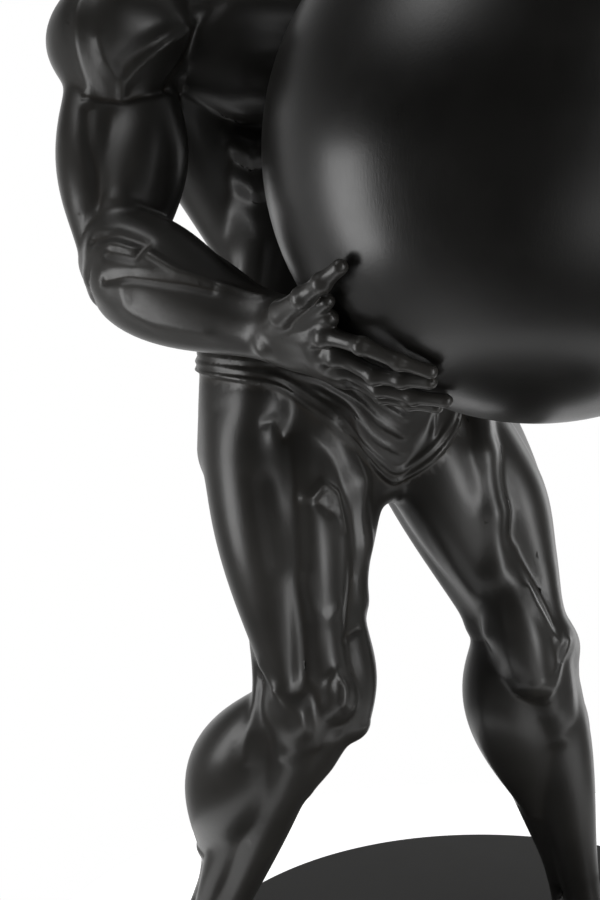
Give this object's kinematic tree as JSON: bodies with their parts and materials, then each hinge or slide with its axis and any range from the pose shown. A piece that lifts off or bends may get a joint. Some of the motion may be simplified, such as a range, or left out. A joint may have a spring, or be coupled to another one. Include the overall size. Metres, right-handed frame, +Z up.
{
  "type": "atlas statuette",
  "caption": "Black satin statuette of a muscular athlete lifting a large smooth globe, standing on a thin round base.",
  "frame": {"origin": "centre of the round base's underside", "axes": "+Z up; the figure faces -Y, with its right side towards -X"},
  "size_m": [0.3057, 0.29, 0.4884],
  "materials": {
    "black_satin": "satin black paint on cast resin"
  },
  "bodies": {
    "root": {"base": "black_satin", "globe": "black_satin", "figure": "black_satin"}
  },
  "joints": []
}
